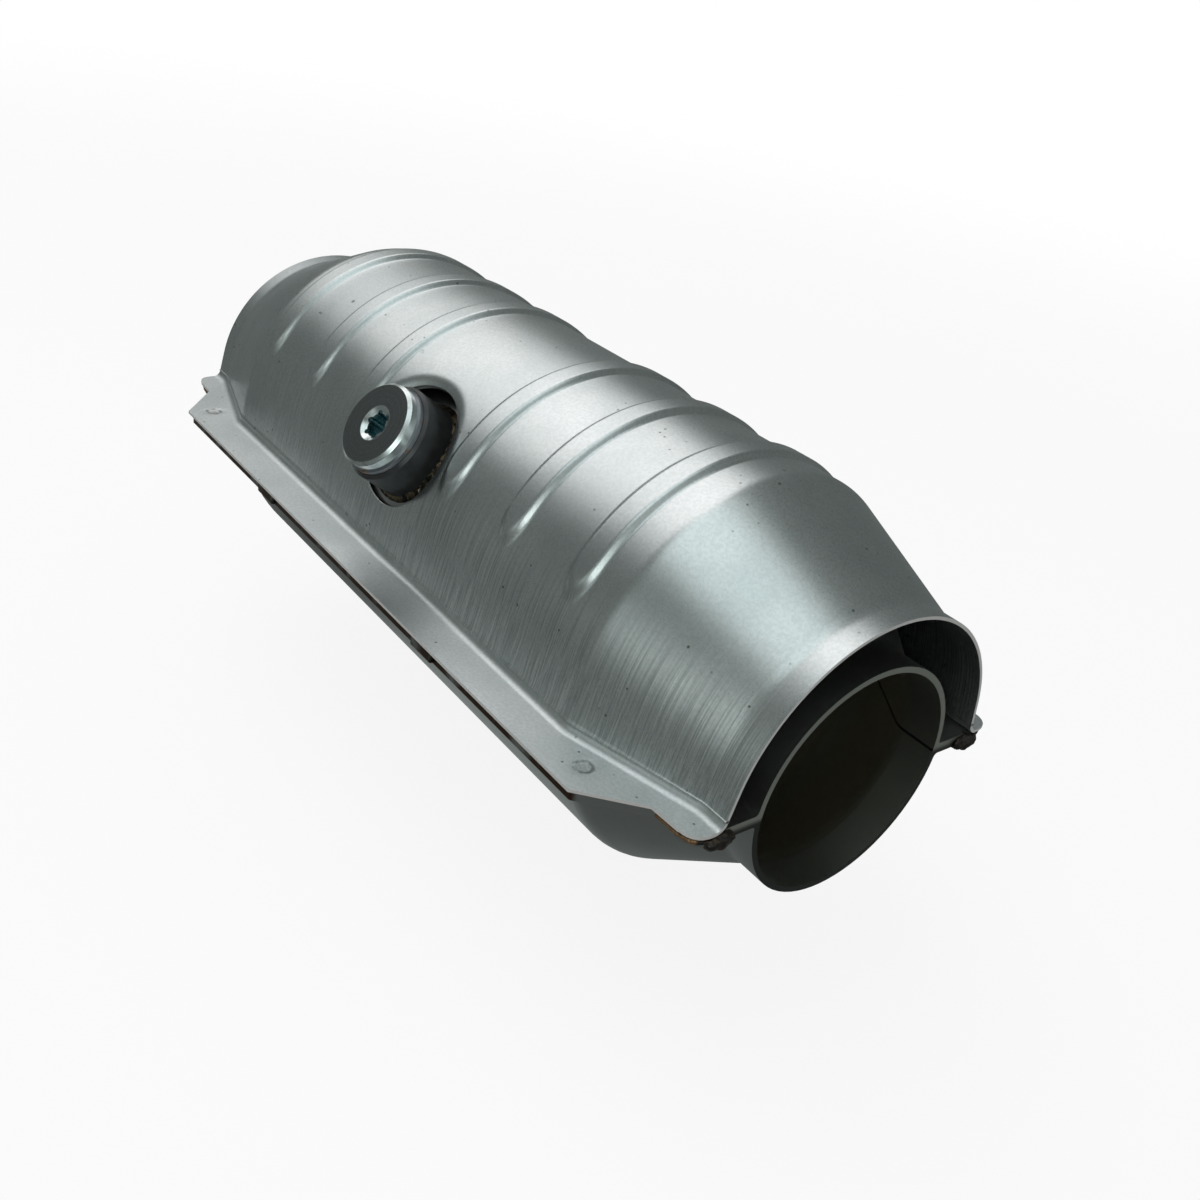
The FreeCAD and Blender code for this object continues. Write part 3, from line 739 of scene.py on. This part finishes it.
def meltSeam(piece):
    # the lumps run into one rough bead
    v = seamValues
    skin = piece.modifiers.new("skin", "REMESH")
    skin.mode = "VOXEL"
    skin.voxel_size = v["cell"]
    skin.use_smooth_shade = True
    melt = piece.modifiers.new("melt", "SMOOTH")
    melt.factor = v["melt"]
    melt.iterations = v["passes"]
    clouds = bpy.data.textures.new("seamClouds", "CLOUDS")
    clouds.noise_scale = v["grain"]
    crust = piece.modifiers.new("crust", "DISPLACE")
    crust.texture = clouds
    crust.texture_coords = "LOCAL"
    crust.strength = v["rough"]
    crust.mid_level = v["level"]


seamSteel = seamMetal()
for name in ("inlet_left_weld", "inlet_right_weld", "outlet_left_weld", "outlet_right_weld"):
    clearSlots(nodes[name], seamSteel)
    meltSeam(nodes[name])
print("seam welds")

# the two bricks of square cells, with the mats round them and their wire seals
brickValues = {
    # the holes' colour is a painted shade for the depth of the channels
    "pitch": 1.27, "wall": (0.06, 0.12), "hole": tint(0.020, 0.016, 0.010), "clay": tint(0.30, 0.25, 0.15),
    "felt": tint(0.62, 0.57, 0.48), "wire": tint(0.45, 0.44, 0.42),
    "clayRough": 0.9, "feltRough": 0.95, "wireRough": 0.5,
}


def brickCeramic():
    # a wall wherever y or z is near a whole number of pitches, and the open cells between the walls painted
    # near black as the shade down the channels
    v = brickValues
    material, tree, shader = newMaterial("brickCeramic")
    walls = 0.0
    for value in split(tree, objectPlace(tree))[1:3]:
        cell = worked(tree, "PINGPONG", times(tree, value, 1 / (v["pitch"] * mm)), 0.5)
        walls = worked(tree, "MAXIMUM", ranged(tree, cell, *v["wall"], 1.0, 0.0), walls)
    # the open cells painted near black as shade
    wire(tree, shader, Base_Color=blended(tree, walls, v["hole"], v["clay"]), Roughness=v["clayRough"])
    return material


brickClay = brickCeramic()
matFelt = plainFinish("matFelt", brickValues["felt"], brickValues["feltRough"], 0.0)
meshWire = plainFinish("meshWire", brickValues["wire"], brickValues["wireRough"])
for end in ("front", "rear"):
    clearSlots(nodes[end + "_brick"], brickClay)
    clearSlots(nodes[end + "_mat"], matFelt)
    for side in ("inlet", "outlet"):
        clearSlots(nodes[end + "_mat_" + side + "_seal"], meshWire)
print("inside")

# the studio in metres: the floor, the light all round, and what the metal shows in each direction
studioValues = {
    "floor": -0.085, "floorX": 0.13, "half": 60.0, "ambient": 0.5, "paint": tint(0.80, 0.80, 0.80),
    "tent": 3.0, "low": 0.14, "front": 0.14, "right": 0.45, "under": 0.22, "spot": 0.30, "card": 1.5,
    "bright": 1.12, "more": 0.26, "overhead": (0.86, 1.0), "overheadLean": 0.223, "windowRise": (0.36, 0.62),
    "windowWay": (-0.996, 0.087, 0.0), "windowSide": (0.087, 0.996, 0.0),
    "spotWay": (-0.13, -0.955, 0.26), "cardWay": (0.545, -0.78, 0.305),
    "dim": tint(0.89, 1.0, 0.965), "lit": tint(0.88, 1.0, 1.0), "white": tint(1, 1, 1),
    # each lamp: its place, target, width, depth and power
    "key": ((-0.1, -0.5, 1.2), (0.13, 0, 0), 1.4, 1.0, 9.0),
    "fill": ((1.1, -0.7, 0.6), (0.15, 0, 0), 0.9, 0.9, 3.0),
}


def studioPiece(name, points, faces, material):
    mesh = bpy.data.meshes.new(name)
    mesh.from_pydata(np.asarray(points, float).tolist(), [], faces)
    piece = bpy.data.objects.new(name, mesh)
    bpy.context.scene.collection.objects.link(piece)
    piece.data.materials.append(material)
    return piece


def floorPaint():
    # white to the camera, with the shadow darkening it a little, and plain white far off
    v = studioValues
    material, tree, shader = newMaterial("floorPaint")
    wire(tree, shader, Base_Color=v["paint"], Roughness=1.0, Specular_IOR_Level=0.0)
    glow = node(tree, "ShaderNodeEmission", None, Color=v["white"], Strength=1.0).outputs[0]
    away = vectorWorked(tree, "LENGTH", objectPlace(tree))["Value"]
    share = times(tree, seenRays(tree), ranged(tree, away, 0.35, 1.6, 0.86, 1.0))
    mix = node(tree, "ShaderNodeMixShader", None, i0=share, i1=shader.outputs[0], i2=glow).outputs[0]
    wire(tree, tree.nodes["Material Output"], Surface=mix)
    return material


def tentCloth():
    # what the metal shows: a light overhead that leans to the front, a window to the left, dim elsewhere
    v = studioValues
    material, tree = newMaterial("tentCloth")[:2]
    way = vectorWorked(tree, "NORMALIZE", objectPlace(tree))["Vector"]
    x, y, z = split(tree, way)
    above = ranged(tree, minus(tree, z, times(tree, y, v["overheadLean"])), *v["overhead"])
    aside = unsigned(tree, alongWay(tree, way, v["windowSide"]))
    within = minus(tree, alongWay(tree, way, v["windowWay"]), aside)
    window = times(tree, ranged(tree, within, -0.02, 0.34), ranged(tree, z, *v["windowRise"]))
    front = times(tree, ranged(tree, y, -0.95, -0.70, 1.0, 0.0), ranged(tree, z, -0.10, 0.12))
    right = times(tree, ranged(tree, x, 0.35, 0.75), ranged(tree, z, -0.05, 0.35))
    under = ranged(tree, z, -0.90, -0.62, 1.0, 0.0)
    spot = ranged(tree, alongWay(tree, way, v["spotWay"]), 0.965, 0.995)
    card = ranged(tree, alongWay(tree, way, v["cardWay"]), 0.945, 0.985)
    low = plus(tree, v["low"], times(tree, front, v["front"]), times(tree, right, v["right"]),
               times(tree, under, v["under"]), times(tree, spot, v["spot"]), times(tree, card, v["card"]))
    colour = blended(tree, window, blended(tree, above, v["dim"], v["lit"]), v["white"])
    bright = plus(tree, v["bright"], times(tree, window, v["more"]))
    rest = worked(tree, "MAXIMUM", minus(tree, bright, low), 0.0)
    level = plus(tree, low, times(tree, worked(tree, "MAXIMUM", above, window), rest))
    glow = node(tree, "ShaderNodeEmission", None, Color=colour, Strength=level).outputs[0]
    wire(tree, tree.nodes["Material Output"], Surface=glow)
    return material


def reflectionTent():
    # a half ball on a round ground, by the turn round and the lift above it, which only reflections see
    v = studioValues
    around, up = 64, 20
    lift, turn = np.meshgrid(np.linspace(0, math.pi / 2, up, endpoint=False),
                             np.linspace(0, 2 * math.pi, around, endpoint=False), indexing="ij")
    ball = np.stack([np.cos(turn) * np.cos(lift), np.sin(turn) * np.cos(lift), np.sin(lift)], -1)
    points = np.concatenate([[(0.0, 0.0, 0.0)], ball.reshape(-1, 3), [(0.0, 0.0, 1.0)]])
    points = points * v["tent"] + np.array([0.0, 0.0, v["floor"] + mm])
    rows = 1 + np.arange(around * up).reshape(up, around)
    pairs = [list(zip(row.tolist(), np.roll(row, -1).tolist())) for row in (rows[0], rows[-1])]
    faces = [(0, b, a) for a, b in pairs[0]] + closedRows(rows).tolist()
    faces += [(a, b, len(points) - 1) for a, b in pairs[1]]
    tent = studioPiece("tent", points, faces, tentCloth())
    tent.location = (mid * mm, 0, 0)
    tent.visible_camera = False
    tent.visible_diffuse = False
    tent.visible_shadow = False
    tent.visible_transmission = False


def addLight(name):
    # a soft lamp over the object, which the metal doesn't show
    spot, target, wide, deep, power = studioValues[name]
    data = bpy.data.lights.new(name, "AREA")
    data.shape = "RECTANGLE"
    data.size = wide
    data.size_y = deep
    data.energy = power
    lamp = bpy.data.objects.new(name, data)
    lamp.location = spot
    lamp.rotation_euler = (Vector(target) - Vector(spot)).to_track_quat("-Z", "Y").to_euler()
    lamp.visible_glossy = False
    bpy.context.scene.collection.objects.link(lamp)


def worldLight():
    # even light all round, and plain white where it is seen
    world = bpy.data.worlds.new("studio")
    bpy.context.scene.world = world
    world.use_nodes = True
    tree = world.node_tree
    strength = ranged(tree, seenRays(tree), 0.0, 1.0, studioValues["ambient"], 1.0)
    wire(tree, tree.nodes["Background"], Strength=strength, Color=studioValues["white"])


worldLight()
reach = studioValues["half"]
floorCorners = np.array([(-reach, -reach, 0), (reach, -reach, 0), (reach, reach, 0), (-reach, reach, 0)])
floorMiddle = np.array([studioValues["floorX"], 0, studioValues["floor"]])
card = studioPiece("floor", floorCorners + floorMiddle, [(0, 1, 2, 3)], floorPaint())
reflectionTent()
for name in ("key", "fill"):
    addLight(name)

# the camera: sensor and lens in millimetres, place in metres and turn in degrees
cameraValues = {
    "sensor": 36.0, "lens": 36.219, "shift": (0.00507, 0.00532), "clip": (0.01, 300.0),
    "place": (0.3851, -0.19674, 0.15665), "turn": (60.5397, -9.0514, 53.2594),
}
cameraData = bpy.data.cameras.new("camera")
cameraData.sensor_width = cameraValues["sensor"]
cameraData.lens = cameraValues["lens"]
cameraData.shift_x, cameraData.shift_y = cameraValues["shift"]
cameraData.clip_start, cameraData.clip_end = cameraValues["clip"]
cameraPiece = bpy.data.objects.new("camera", cameraData)
cameraPiece.location = cameraValues["place"]
cameraPiece.rotation_euler = [math.radians(angle) for angle in cameraValues["turn"]]
bpy.context.scene.collection.objects.link(cameraPiece)
bpy.context.scene.camera = cameraPiece
bpy.context.scene.view_settings.view_transform = "Standard"

print("stage and camera")
